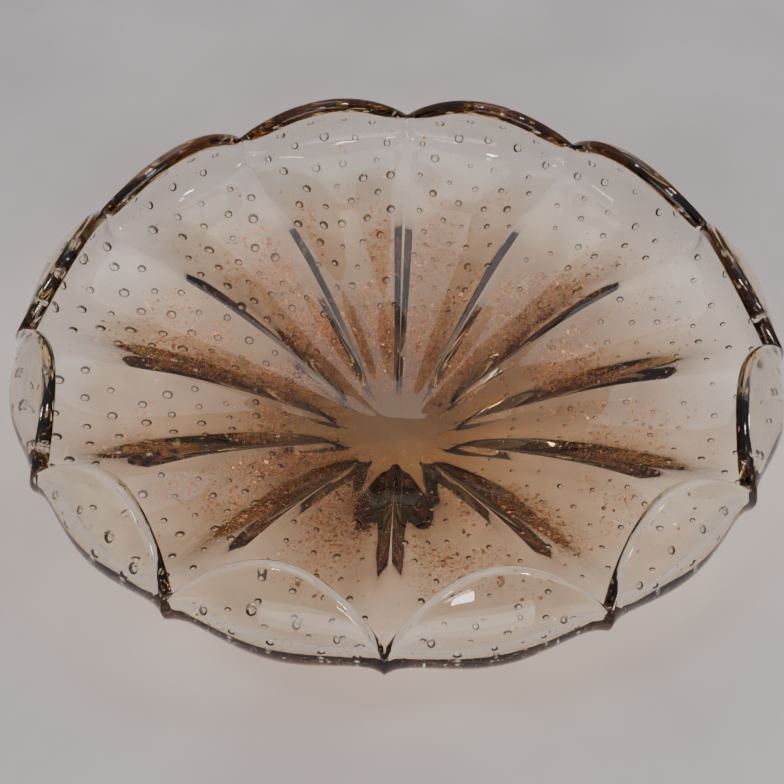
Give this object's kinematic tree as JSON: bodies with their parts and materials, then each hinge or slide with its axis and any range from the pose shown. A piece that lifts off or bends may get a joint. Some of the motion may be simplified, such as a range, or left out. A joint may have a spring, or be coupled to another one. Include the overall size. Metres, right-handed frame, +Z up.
{
  "type": "art glass bowl",
  "caption": "Round shallow bowl of thick clear cased glass with trapped bubbles, gold leaf flecks, ribbed outside and a scalloped inward-curling rim.",
  "frame": {"origin": "centre of the ground flat under the bowl, on the surface that it stands on", "axes": "+Z up along the bowl's axis, +X through the middle of one notch of the rim"},
  "size_m": [0.2784, 0.2784, 0.0732],
  "materials": {
    "inner_glass": "clear polished glass, faintly amber, with trapped bubbles",
    "outer_glass": "clear polished glass, amber where it is thick",
    "gold_leaf": "thin crinkled gold leaf"
  },
  "bodies": {
    "root": {"inner_gather": "inner_glass", "outer_casing": "outer_glass", "gold_flecks": "gold_leaf"}
  },
  "joints": []
}
